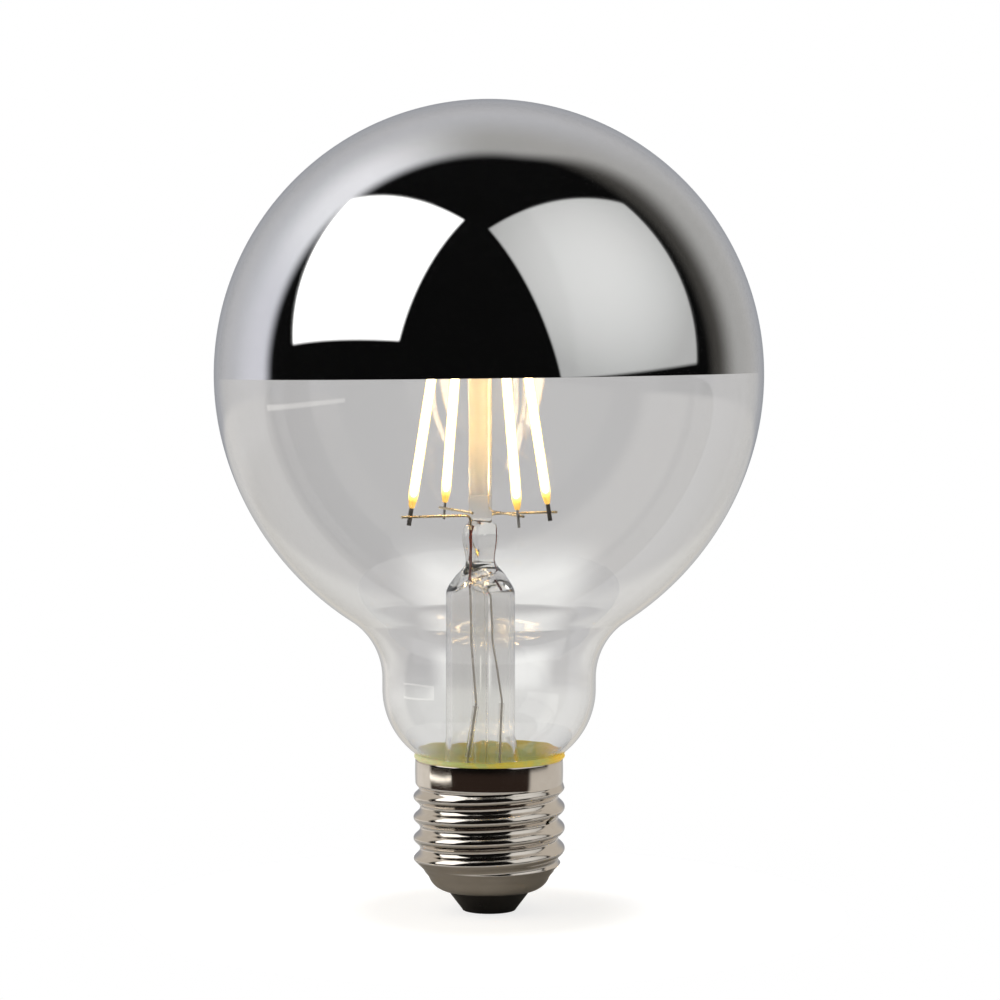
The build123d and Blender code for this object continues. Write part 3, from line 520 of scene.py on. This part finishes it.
def make_stem():
    """Flare, tube, press, post and exhaust tube as the one piece of fused glass that they are."""
    count = STEM_COLUMNS
    lip = 2 * (SEAL_RADIUS - GLASS_WALL)
    tube = 2 * STEM_RADIUS
    post = 2 * POST_RADIUS
    bead = 2 * BEAD_RADIUS
    waist = tube + (lip - tube) * 0.3
    flare = [
        (SEAL_HEIGHT, 0, lip, lip),
        (SEAL_HEIGHT + 1.2, 0, lip, lip),
        (SEAL_HEIGHT + 3.9, 0.7 * STEM_OFFSET, waist, waist),
        (FLARE_TOP, STEM_OFFSET, tube, tube),
    ]
    press = [
        (FLARE_TOP, STEM_OFFSET, tube, tube),
        (STEM_TUBE_TOP, STEM_OFFSET, tube, tube),
        (STEM_TUBE_TOP + 2.9, STEM_OFFSET, 10.6, 8.2),
        (STEM_TUBE_TOP + 5.6, STEM_OFFSET, 7.8, 3.0),
        (STEM_TUBE_TOP + 10.0, STEM_OFFSET, 9.2, 4.4),
        (STEM_TUBE_TOP + 11.7, STEM_OFFSET, 8.0, 4.2),
    ]
    top = STEM_TUBE_TOP + 12.2
    shoulder = [
        (top - 0.1, STEM_OFFSET, 6.6, 4.1),
        (top, STEM_OFFSET, 5.6, 4.05),
    ]
    bead_foot = HEAD_HEIGHT - 1.7
    bead_top = HEAD_HEIGHT + 2.3
    rod = [
        (top + 0.1, STEM_OFFSET, 4.6, post),
        (top + 0.6, STEM_OFFSET, post, post),
        (bead_foot - 1.2, STEM_OFFSET, post, post),
        (bead_foot, STEM_OFFSET, bead * 0.97, bead * 0.97),
        (bead_foot + 1.4, STEM_OFFSET, bead, bead),
        (bead_top - 1.2, STEM_OFFSET, bead, bead),
        (bead_top - 0.35, STEM_OFFSET, bead * 0.82, bead * 0.82),
        (bead_top - 0.05, STEM_OFFSET, bead * 0.45, bead * 0.45),
    ]
    outer = stack(flare, count, 16) + stack(press, count, 60)[1:]
    outer += [oval_ring(*level, count) for level in shoulder]
    outer += stack(rod, count, 90) + [[(-STEM_OFFSET, 0, bead_top)]]

    wall = 2 * STEM_WALL
    dome = STEM_TUBE_TOP + 2.6
    flare_bore = [(z, s, w - wall, n - wall) for z, s, w, n in flare]
    hollow = [
        (FLARE_TOP, STEM_OFFSET, tube - wall, tube - wall),
        (STEM_TUBE_TOP, STEM_OFFSET, tube - wall, tube - wall),
        (STEM_TUBE_TOP + 1.3, STEM_OFFSET, 8.8, 6.4),
        (dome - 0.2, STEM_OFFSET, 6.0, 3.4),
    ]
    centre = (-STEM_OFFSET, 0)
    cavity = stack(flare_bore, count, 16) + stack(hollow, count, 60)[1:]
    cavity += [oval_ring(dome, STEM_OFFSET, 4.2, 3.0, count)]
    cavity += [circle_ring(EXHAUST_RADIUS, z, count, centre)
               for z in (dome - 0.05, dome - 0.6, 50, 40, 30, EXHAUST_TIP + 2.4)]
    cavity += [circle_ring(r, z, count, centre)
               for r, z in ((1.25, EXHAUST_TIP + 1.4), (0.95, EXHAUST_TIP + 0.5),
                            (0.55, EXHAUST_TIP + 0.1), (0, EXHAUST_TIP))]
    bore = [circle_ring(r, z, count, centre)
            for r, z in ((0, EXHAUST_TIP + 1.2), (0.6, EXHAUST_TIP + 1.6),
                         (EXHAUST_BORE, EXHAUST_TIP + 2.4), (EXHAUST_BORE, 30), (EXHAUST_BORE, 45),
                         (EXHAUST_BORE, dome), (0.6, dome + 0.8), (0, dome + 1.1))]
    points, faces = [], []
    ring_surface(points, faces, outer[::-1] + cavity)
    shell_faces = [tuple(reversed(face)) for face in faces]
    faces = []
    ring_surface(points, faces, bore)
    shell_faces += [tuple(reversed(face)) for face in faces]
    return mesh_piece("stem_glass", points, shell_faces,
                      ["stem_tube", "support_post", "exhaust_tube"])


# Filaments

def stem_point(radius, angle, height):
    """Point around the stem's axis, which stands beside the bulb's."""
    turn = math.radians(angle)
    return Vector((-STEM_OFFSET + radius * math.cos(turn), radius * math.sin(turn), height))


def rod_rings(start, rise, profile, count):
    """Rings of a round rod along a direction, from (radius, distance) pairs."""
    side = rise.cross(Vector((0, 0, 1))).normalized()
    across = rise.cross(side).normalized()
    rings = []
    for r, s in profile:
        if r < 1e-6:
            rings.append([tuple(start + rise * s)])
            continue
        ring = []
        for i in range(count):
            a = 2 * math.pi * i / count
            ring.append(tuple(start + rise * s + (side * math.cos(a) + across * math.sin(a)) * r))
        rings.append(ring)
    return rings


def make_filament(place, turn):
    """Row of lit chips as a glowing core inside its translucent coat."""
    foot = stem_point(FOOT_RADIUS, FILAMENT_ANGLE + turn, FOOT_HEIGHT)
    head = stem_point(HEAD_RADIUS, FILAMENT_ANGLE + turn, HEAD_HEIGHT)
    rise = (head - foot).normalized()
    start = foot + rise * WELD_INSET
    coat = COAT_END + [(COAT_RADIUS, COAT_LENGTH * k / 12) for k in range(2, 11)]
    coat += [(r, COAT_LENGTH - s) for r, s in reversed(COAT_END)]
    core = CORE_END + [(r, COAT_LENGTH - s) for r, s in reversed(CORE_END)]
    points, faces = [], []
    ring_surface(points, faces, rod_rings(start, rise, coat, FILAMENT_COLUMNS))
    coat_faces = len(faces)
    ring_surface(points, faces, rod_rings(start, rise, core, FILAMENT_COLUMNS))
    obj = mesh_piece("coat_" + place, points, faces, ["filament_" + place])
    along = obj.data.attributes.new("along", "FLOAT", "POINT")
    values = []
    for r, s in coat + core:
        values += [s / COAT_LENGTH] * (1 if r < 1e-6 else FILAMENT_COLUMNS)
    along.data.foreach_set("value", values)
    kinds = [0] * coat_faces + [1] * (len(faces) - coat_faces)
    paint(obj, coat_look, core_look)
    obj.data.polygons.foreach_set("material_index", kinds)


# Materials

COAT_GLOW = 2.0
COAT_END_GLOW = 0.45
CORE_GLOW = 14.0
# Painted light on the cement, which is no lamp
CEMENT_PAINTED_LIGHT = 0.40

# Share of milky glass in the stem, by height in metres
MILK_START = 0.067
MILK_FULL = 0.082
MILK_SHARE = 0.7


class Tree:
    """Small helper for node trees."""

    def __init__(self, tree):
        self.tree = tree
        tree.nodes.clear()

    def add(self, kind, inputs=(), **settings):
        node = self.tree.nodes.new(kind)
        for key, value in settings.items():
            setattr(node, key, value)
        named = inputs.items() if isinstance(inputs, dict) else enumerate(inputs)
        for key, value in named:
            socket = node.inputs[key]
            if isinstance(value, bpy.types.NodeSocket):
                self.tree.links.new(value, socket)
            else:
                socket.default_value = value
        return node

    def math(self, operation, *inputs):
        return self.add("ShaderNodeMath", inputs, operation=operation).outputs[0]

    def vector(self, operation, *inputs):
        return self.add("ShaderNodeVectorMath", inputs, operation=operation)

    def inverse(self, value):
        return self.math("SUBTRACT", 1.0, value)

    def stretch(self, value, low, high, to_low, to_high):
        """Even change from to_low at low to to_high at high, level beyond them."""
        inputs = {0: value, 1: low, 2: high, 3: to_low, 4: to_high}
        return self.add("ShaderNodeMapRange", inputs).outputs[0]

    def ramp_between(self, value, start, end):
        """Soft ramp from 0 at start to 1 at end; start may lie above end."""
        node = self.add("ShaderNodeMapRange", {0: value, 1: start, 2: end, 3: 0.0, 4: 1.0})
        node.interpolation_type = "SMOOTHSTEP"
        return node.outputs[0]

    def mix(self, factor, a, b):
        inputs = {0: factor, 6: a, 7: b}
        return self.add("ShaderNodeMix", inputs, data_type="RGBA", clamp_factor=True).outputs[2]

    def noise(self, scale, detail=3.0, coords=None):
        if coords is None:
            coords = self.add("ShaderNodeTexCoord").outputs["Object"]
        inputs = {"Vector": coords, "Scale": scale, "Detail": detail}
        return self.add("ShaderNodeTexNoise", inputs).outputs[0]


def colour(r, g, b):
    return (r, g, b, 1.0)


def new_material(name):
    """A new material and the helper for its node tree."""
    mat = bpy.data.materials.new(name)
    mat.use_nodes = True
    return mat, Tree(mat.node_tree)


def wandering(tree, base, other, scale, roughness, spread, sockets, bump=0.0):
    """Principled shader whose colour and roughness wander a little with a noise."""
    noise = tree.noise(scale)
    tone = tree.mix(tree.ramp_between(noise, 0.35, 0.65), colour(*base), colour(*other))
    smoothest = max(0.0, roughness - spread)
    rough = tree.stretch(noise, 0.3, 0.7, smoothest, roughness + spread)
    inputs = {"Base Color": tone, "Roughness": rough, **sockets}
    if bump:
        fine = tree.noise(scale * 3)
        inputs["Normal"] = tree.add(
            "ShaderNodeBump", {"Strength": bump, "Distance": 0.0002, "Height": fine}
        ).outputs[0]
    return tree.add("ShaderNodeBsdfPrincipled", inputs).outputs[0]


def material(name, base, other, scale, roughness, spread, metallic=0.0, bump=0.0):
    """Opaque material between two close colours."""
    mat, tree = new_material(name)
    shader = wandering(tree, base, other, scale, roughness, spread, {"Metallic": metallic}, bump)
    tree.add("ShaderNodeOutputMaterial", [shader])
    return mat


def glass_shader(tree, base, other, ior=1.5):
    """Clear polished glass between two close tints."""
    sockets = {"Metallic": 0.0, "Transmission Weight": 1.0, "IOR": ior}
    return wandering(tree, base, other, 40, 0.0, 0.0, sockets)


def glass_material(name, base, other, ior=1.5):
    mat, tree = new_material(name)
    tree.add("ShaderNodeOutputMaterial", [glass_shader(tree, base, other, ior)])
    return mat


def stem_material():
    """Clear glass of the stem; the post is a little milky where the filaments light it."""
    mat, tree = new_material("stem_glass")
    clear_glass = glass_shader(tree, (0.99, 0.988, 0.975), (0.995, 0.99, 0.98))
    place = tree.add("ShaderNodeTexCoord").outputs["Object"]
    height = tree.add("ShaderNodeSeparateXYZ", [place]).outputs[2]
    milky = tree.stretch(height, MILK_START, MILK_FULL, 0.0, MILK_SHARE)
    scatter = tree.add("ShaderNodeBsdfTranslucent", {"Color": colour(1.0, 0.95, 0.82)})
    both = tree.add("ShaderNodeMixShader", [milky, clear_glass, scatter.outputs[0]])
    tree.add("ShaderNodeOutputMaterial", [both.outputs[0]])
    return mat


def coat_material():
    """Translucent coat, lit pale yellow along its length and plain orange at its unlit ends."""
    mat, tree = new_material("filament_coat")
    along = tree.add("ShaderNodeAttribute", attribute_name="along").outputs["Fac"]
    lit = tree.ramp_between(tree.math("MINIMUM", along, tree.inverse(along)), 0.03, 0.08)
    grain = tree.noise(900)
    shader = tree.add("ShaderNodeBsdfPrincipled", {
        "Base Color": tree.mix(grain, colour(0.86, 0.56, 0.05), colour(0.92, 0.66, 0.09)),
        "Roughness": 0.45,
        "Emission Color": tree.mix(lit, colour(1.0, 0.62, 0.08), colour(1.0, 0.76, 0.36)),
        "Emission Strength": tree.stretch(lit, 0.0, 1.0, COAT_END_GLOW, COAT_GLOW),
        "Alpha": 0.55,
    })
    tree.add("ShaderNodeOutputMaterial", [shader.outputs[0]])
    return mat


def core_material():
    """Warm white glow of the chips."""
    mat, tree = new_material("filament_core")
    grain = tree.noise(900)
    shader = tree.add("ShaderNodeBsdfPrincipled", {
        "Base Color": colour(0.9, 0.8, 0.5),
        "Emission Color": tree.mix(grain, colour(1.0, 0.90, 0.74), colour(1.0, 0.93, 0.78)),
        "Emission Strength": CORE_GLOW,
    })
    tree.add("ShaderNodeOutputMaterial", [shader.outputs[0]])
    return mat


def cement_material():
    """Waxy olive cement, orange towards the right and paler towards the left, with a painted glow in its own
    colour that stands in for light falling on it.
    """
    mat, tree = new_material("cement_look")
    place = tree.add("ShaderNodeTexCoord").outputs["Object"]
    wide = tree.noise(220, 4.0, place)
    fine = tree.noise(700, 4.0, place)
    across = tree.add("ShaderNodeSeparateXYZ", [place]).outputs[0]
    spots = tree.ramp_between(wide, 0.42, 0.58)
    tone = tree.mix(spots, colour(0.50, 0.52, 0.16), colour(0.66, 0.54, 0.08))
    tone = tree.mix(tree.ramp_between(across, 0.0085, 0.0125), tone, colour(0.86, 0.54, 0.03))
    tone = tree.mix(tree.ramp_between(across, -0.004, -0.011), tone, colour(0.70, 0.67, 0.36))
    bump = tree.add("ShaderNodeBump", {"Strength": 0.6, "Distance": 0.0004, "Height": fine})
    shader = tree.add("ShaderNodeBsdfPrincipled", {
        "Base Color": tone,
        "Roughness": 0.38,
        "Normal": bump.outputs[0],
        "Subsurface Weight": 0.4,
        "Subsurface Scale": 0.0012,
        # Painted light: the cement is no lamp, and this glow in its own colour brightens it in place of
        # light falling on it
        "Emission Color": tone,
        "Emission Strength": CEMENT_PAINTED_LIGHT,
    })
    tree.add("ShaderNodeOutputMaterial", [shader.outputs[0]])
    return mat


# Light

# One distant studio can't stand for near panels, so metal, mirror and clear glass see it a little
# differently, by the kind and depth of the ray

# Corners of the panels, as directions: right, up, towards the front
LEFT_PANEL = [(-.595, .755, -.278), (-.145, .917, .372), (-.594, .237, .768), (-.988, .156, .005)]
RIGHT_PANEL = [(0, .891, .455), (.602, .770, -.215), (.993, .057, -.105), (.499, -.009, .866)]
PATCH = [(-.957, -.131, -.256), (-.866, -.131, .480), (-.864, -.155, .479), (-.954, -.155, -.256)]
PANEL_SOFT = 0.025
PATCH_SOFT = 0.012

# Black cards end the panels for the cap; each hides the side that its normal points away from
LEFT_CARD = (-0.559, 0.829, 0.0)
RIGHT_CARD = (0.809, 0.588, 0.0)
CARD_SOFT = 0.04

LEFT_LIGHT = (1.8, 1.79, 1.77)
PATCH_LIGHT = (2.7, 2.62, 2.45)
RIGHT_DIMMEST = 0.54
RIGHT_BRIGHTEST = 0.86
RIGHT_BRIGHT_WAY = (0.652, -0.422, 0.63)

# Greys of the surround that gloss shows above the horizon
FRONT_DARK = (0.0035, 0.0035, 0.0035)
WALL_BEHIND = (0.335, 0.343, 0.368)
WALL_AROUND = (0.505, 0.515, 0.555)
WALL_RIGHT = (0.41, 0.41, 0.41)
WALL_ON_METAL = (0.60, 0.56, 0.505)
SIDE_LEFT = (0.73, 0.735, 0.80)
SIDE_LEFT_HIGH = (0.96, 0.96, 1.0)
SIDE_RIGHT = (0.40, 0.395, 0.385)

# Below the horizon
LOW_FRONT = (0.03, 0.02, 0.016)
LOW_LEFT = (0.80, 0.77, 0.73)
LOW_RIGHT = (0.64, 0.61, 0.57)
LOW_BEHIND = (0.52, 0.515, 0.51)
LOW_DEEP = (0.62, 0.59, 0.54)

# As the clear glass shows the surround
GLASS_BEHIND = (0.575, 0.565, 0.57)
GLASS_NECK = (0.98, 0.97, 0.96)
GLASS_FOOT = (0.77, 0.76, 0.75)
GLASS_FRONT = (0.5, 0.495, 0.49)

FLOOR_RADIUS = 0.062
FLOOR_CORNERS = 120
# The floor's grey middle is painted shade; it is pale beyond
FLOOR_PAINTED_SHADE_END = 0.018
FLOOR_PALE_START = 0.036
FLOOR_GLOW = 0.76

CAMERA_PLACE = (0.0019, -0.52, 0.099)
CAMERA_TILT = 87.0
CAMERA_LENS = 108.0
CAMERA_SENSOR = 36.0


def panel(tree, direction, corners, soft):
    """1 inside a four-cornered panel of directions, 0 outside."""
    corners = [Vector((x, -front, up)).normalized() for x, up, front in corners]
    middle = sum(corners, Vector()).normalized()
    inside = None
    for a, b in zip(corners, corners[1:] + corners[:1]):
        normal = a.cross(b).normalized()
        if normal.dot(middle) < 0:
            normal.negate()
        reach = tree.vector("DOT_PRODUCT", direction, tuple(normal)).outputs["Value"]
        edge = tree.ramp_between(reach, -soft / 2, soft / 2)
        inside = edge if inside is None else tree.math("MULTIPLY", inside, edge)
    return inside


def beside_card(tree, direction, normal, on_metal):
    """1 where a black card leaves a panel's light alone, 0 where it hides it from the metal."""
    reach = tree.vector("DOT_PRODUCT", direction, normal).outputs["Value"]
    hidden = tree.inverse(tree.ramp_between(reach, -CARD_SOFT, CARD_SOFT))
    return tree.inverse(tree.math("MULTIPLY", hidden, on_metal))


def high_studio(tree, across, away, up, on_metal):
    """Upper surround as gloss shows it: dim straight behind, bright at the left, black in front."""
    left = tree.ramp_between(across, 0.0, -0.5)
    right = tree.ramp_between(across, 0.1, 0.6)
    high = tree.ramp_between(up, 0.25, 0.70)
    around = tree.ramp_between(away, 0.98, 0.74)
    near = tree.ramp_between(away, 0.80, 0.40)
    wall = tree.mix(around, colour(*WALL_BEHIND), colour(*WALL_AROUND))
    wall = tree.mix(tree.math("MULTIPLY", around, right), wall, colour(*WALL_RIGHT))
    left_side = tree.mix(high, colour(*SIDE_LEFT), colour(*SIDE_LEFT_HIGH))
    back = tree.mix(near, wall, tree.mix(left, colour(*SIDE_RIGHT), left_side))
    back = tree.mix(tree.math("MULTIPLY", on_metal, around), back, colour(*WALL_ON_METAL))
    wider = tree.math("MULTIPLY", right, tree.inverse(on_metal))
    dark_end = tree.math("ADD", 0.18, tree.math("MULTIPLY", wider, 0.16))
    lit_end = tree.math("ADD", 0.32, tree.math("MULTIPLY", wider, 0.31))
    return tree.mix(tree.ramp_between(away, dark_end, lit_end), colour(*FRONT_DARK), back)


def low_studio(tree, across, away, down):
    """Surround below the horizon: pale at the sides, dimmer straight behind, dark in front."""
    right = tree.ramp_between(across, -0.2, 0.2)
    edge = tree.math("SUBTRACT", 0.24, tree.math("MULTIPLY", right, 0.63))
    behind = tree.ramp_between(tree.math("SUBTRACT", away, edge), -0.07, 0.07)
    straight = tree.ramp_between(away, 0.8, 0.96)
    deep = tree.ramp_between(down, 0.20, 0.32)
    side = tree.mix(right, colour(*LOW_LEFT), colour(*LOW_RIGHT))
    back = tree.mix(straight, side, colour(*LOW_BEHIND))
    back = tree.mix(deep, back, colour(*LOW_DEEP))
    return tree.mix(behind, colour(*LOW_FRONT), back)


def through_studio(tree, across, away, down):
    """Grey surround as the clear glass shows it, near white low in the middle."""
    aside = tree.ramp_between(tree.math("ABSOLUTE", across), 0.024, 0.050)
    low = tree.math("MULTIPLY", tree.ramp_between(down, 0.070, 0.094), tree.inverse(aside))
    back = tree.mix(low, colour(*GLASS_BEHIND), colour(*GLASS_NECK))
    back = tree.mix(tree.ramp_between(down, 0.102, 0.124), back, colour(*GLASS_FOOT))
    return tree.mix(tree.ramp_between(away, -0.4, 0.4), colour(*GLASS_FRONT), back)


def sees_through(tree, path):
    """1 for rays that have only passed through glass, and for those from deep inside it."""
    unreflected = tree.math("LESS_THAN", path["Glossy Depth"], 0.5)
    straight = tree.math("MULTIPLY", path["Is Transmission Ray"], unreflected)
    inside = tree.math(
        "MULTIPLY",
        tree.math("GREATER_THAN", path["Transmission Depth"], 4.5),
        tree.math("LESS_THAN", path["Glossy Depth"], 2.5),
    )
    deeper = tree.math("GREATER_THAN", path["Transmission Depth"], 6.5)
    return tree.math("MAXIMUM", straight, tree.math("MAXIMUM", inside, deeper))


def make_world():
    """Studio of two soft panels in a grey surround; white where the camera looks past the bulb."""
    world = bpy.data.worlds.new("studio")
    bpy.context.scene.world = world
    world.use_nodes = True
    tree = Tree(world.node_tree)
    direction = tree.add("ShaderNodeTexCoord").outputs["Generated"]
    across, away, up = tree.add("ShaderNodeSeparateXYZ", [direction]).outputs
    down = tree.math("MULTIPLY", up, -1.0)
    path = tree.add("ShaderNodeLightPath").outputs
    outside = tree.math("LESS_THAN", path["Transmission Depth"], 0.5)
    on_metal = tree.math("MULTIPLY", path["Is Glossy Ray"], outside)

    low = tree.ramp_between(down, 0.075, 0.115)
    upper = high_studio(tree, across, away, up, on_metal)
    total = tree.mix(low, upper, low_studio(tree, across, away, down))
    patch = tree.math("MULTIPLY", panel(tree, direction, PATCH, PATCH_SOFT), on_metal)
    left = panel(tree, direction, LEFT_PANEL, PANEL_SOFT)
    left = tree.math("MULTIPLY", left, beside_card(tree, direction, LEFT_CARD, on_metal))
    right = panel(tree, direction, RIGHT_PANEL, PANEL_SOFT)
    right = tree.math("MULTIPLY", right, beside_card(tree, direction, RIGHT_CARD, on_metal))
    bright_way = tuple(Vector(RIGHT_BRIGHT_WAY).normalized())
    near = tree.vector("DOT_PRODUCT", direction, bright_way).outputs["Value"]
    bright = tree.stretch(near, 0.75, 1.0, RIGHT_DIMMEST, RIGHT_BRIGHTEST)
    blue = tree.math("MULTIPLY", bright, 0.985)
    right_light = tree.add("ShaderNodeCombineColor", [bright, bright, blue]).outputs[0]
    total = tree.mix(patch, total, colour(*PATCH_LIGHT))
    total = tree.mix(left, total, colour(*LEFT_LIGHT))
    total = tree.mix(right, total, right_light)
    total = tree.mix(sees_through(tree, path), total, through_studio(tree, across, away, down))

    studio = tree.add("ShaderNodeBackground", {"Color": total, "Strength": 1.0})
    white = tree.add("ShaderNodeBackground", {"Color": colour(1, 1, 1), "Strength": 1.0})
    shown = [path["Is Camera Ray"], studio.outputs[0], white.outputs[0]]
    mixed = tree.add("ShaderNodeMixShader", shown)
    tree.add("ShaderNodeOutputWorld", [mixed.outputs[0]])


def make_floor():
    """Pale disc with painted shade, grey under the cap in place of a contact shadow; it meets the white by a
    glow that only the camera sees.
    """
    mat, tree = new_material("floor")
    # Painted shade: this grey, varied a little by a noise, stands in for a contact shadow round the cap, on
    # top of the shadow that the floor catches
    near = tree.mix(tree.noise(30), colour(0.36, 0.33, 0.28), colour(0.40, 0.37, 0.32))
    place = tree.add("ShaderNodeTexCoord").outputs["Object"]
    reach = tree.vector("LENGTH", place).outputs["Value"]
    outward = tree.ramp_between(reach, FLOOR_PAINTED_SHADE_END, FLOOR_PALE_START)
    tone = tree.mix(outward, near, colour(0.88, 0.87, 0.85))
    matte = tree.add("ShaderNodeBsdfDiffuse", {"Color": tone}).outputs[0]
    glow = tree.add("ShaderNodeEmission", {"Color": colour(1, 1, 1), "Strength": FLOOR_GLOW})
    both = tree.add("ShaderNodeAddShader", [matte, glow.outputs[0]]).outputs[0]
    seen = tree.add("ShaderNodeLightPath").outputs["Is Camera Ray"]
    mixed = tree.add("ShaderNodeMixShader", [seen, matte, both])
    tree.add("ShaderNodeOutputMaterial", [mixed.outputs[0]])
    mesh = bpy.data.meshes.new("floor")
    corners = circle_ring(FLOOR_RADIUS, 0.0, FLOOR_CORNERS)
    mesh.from_pydata(corners, [], [tuple(range(FLOOR_CORNERS))])
    obj = bpy.data.objects.new("floor", mesh)
    bpy.context.scene.collection.objects.link(obj)
    mesh.materials.append(mat)


def make_camera():
    data = bpy.data.cameras.new("camera")
    data.sensor_width = CAMERA_SENSOR
    data.lens = CAMERA_LENS
    camera = bpy.data.objects.new("camera", data)
    camera.location = CAMERA_PLACE
    camera.rotation_euler = (math.radians(CAMERA_TILT), 0, 0)
    bpy.context.scene.collection.objects.link(camera)
    bpy.context.scene.camera = camera


# Assembly

def paint(obj, *mats):
    obj.data.materials.clear()
    for mat in mats:
        obj.data.materials.append(mat)


clear = glass_material("clear_glass", (0.985, 0.99, 0.985), (0.99, 0.99, 0.985))
stem_glass = stem_material()
mirror = material("silver", (0.80, 0.80, 0.81), (0.83, 0.83, 0.84), 30, 0.012, 0.004, metallic=1.0)
nickel = material("nickel", (0.71, 0.66, 0.60), (0.76, 0.71, 0.65), 220, 0.10, 0.03, metallic=1.0, bump=0.02)
black = material("black_insulator", (0.012, 0.011, 0.01), (0.02, 0.018, 0.016), 300, 0.32, 0.06, bump=0.05)
wire = material("support_wire", (0.78, 0.64, 0.42), (0.86, 0.72, 0.50), 400, 0.28, 0.06, metallic=0.9)
dark_pin = material("pin", (0.24, 0.23, 0.215), (0.32, 0.30, 0.28), 400, 0.32, 0.06, metallic=1.0)
dumet = material("dumet", (0.30, 0.05, 0.03), (0.4, 0.09, 0.05), 400, 0.35, 0.05)
lead = material("lead_wire", (0.86, 0.80, 0.73), (0.92, 0.87, 0.80), 400, 0.3, 0.06, metallic=0.5)
sleeve = glass_material("sleeve", (0.97, 0.96, 0.93), (0.98, 0.97, 0.95), 1.4)
board = material("board", (0.05, 0.20, 0.08), (0.06, 0.24, 0.1), 300, 0.4, 0.05)
can = material("can", (0.55, 0.55, 0.56), (0.6, 0.6, 0.61), 300, 0.3, 0.05, metallic=1.0)
package = material("package", (0.02, 0.02, 0.02), (0.03, 0.03, 0.03), 500, 0.5, 0.06)
ferrite = material("ferrite", (0.05, 0.05, 0.055), (0.08, 0.08, 0.085), 500, 0.6, 0.06)
resistor = material("resistor", (0.08, 0.22, 0.32), (0.1, 0.26, 0.36), 500, 0.35, 0.05)
coat_look = coat_material()
core_look = core_material()

SLOT_LOOKS = {
    "insulator_black": black,
    "contact_metal": nickel,
    "support_wire": wire,
    "pin_metal": dark_pin,
    "dumet_copper": dumet,
    "lead_wire": lead,
    "clear_sleeve": sleeve,
    "board": board,
    "can_metal": can,
    "package_black": package,
    "ferrite": ferrite,
    "resistor_body": resistor,
}

paint(make_envelope(), clear)
paint(make_mirror(), mirror)
paint(make_shell(), nickel)
paint(make_cement(), cement_material())
paint(make_stem(), stem_glass)
for quarter, place in enumerate(("back_right", "back_left", "front_left", "front_right")):
    make_filament(place, 90 * quarter)

for row in frame["record"]["subparts"]:
    node = frame["nodes"][row["node"]]
    if row["material_slot"] in SLOT_LOOKS:
        paint(node, SLOT_LOOKS[row["material_slot"]])

make_world()
make_floor()
make_camera()

scene = bpy.context.scene
scene.view_settings.view_transform = "Standard"
scene.cycles.max_bounces = 32
scene.cycles.transmission_bounces = 32
scene.cycles.glossy_bounces = 12
scene.cycles.transparent_max_bounces = 16
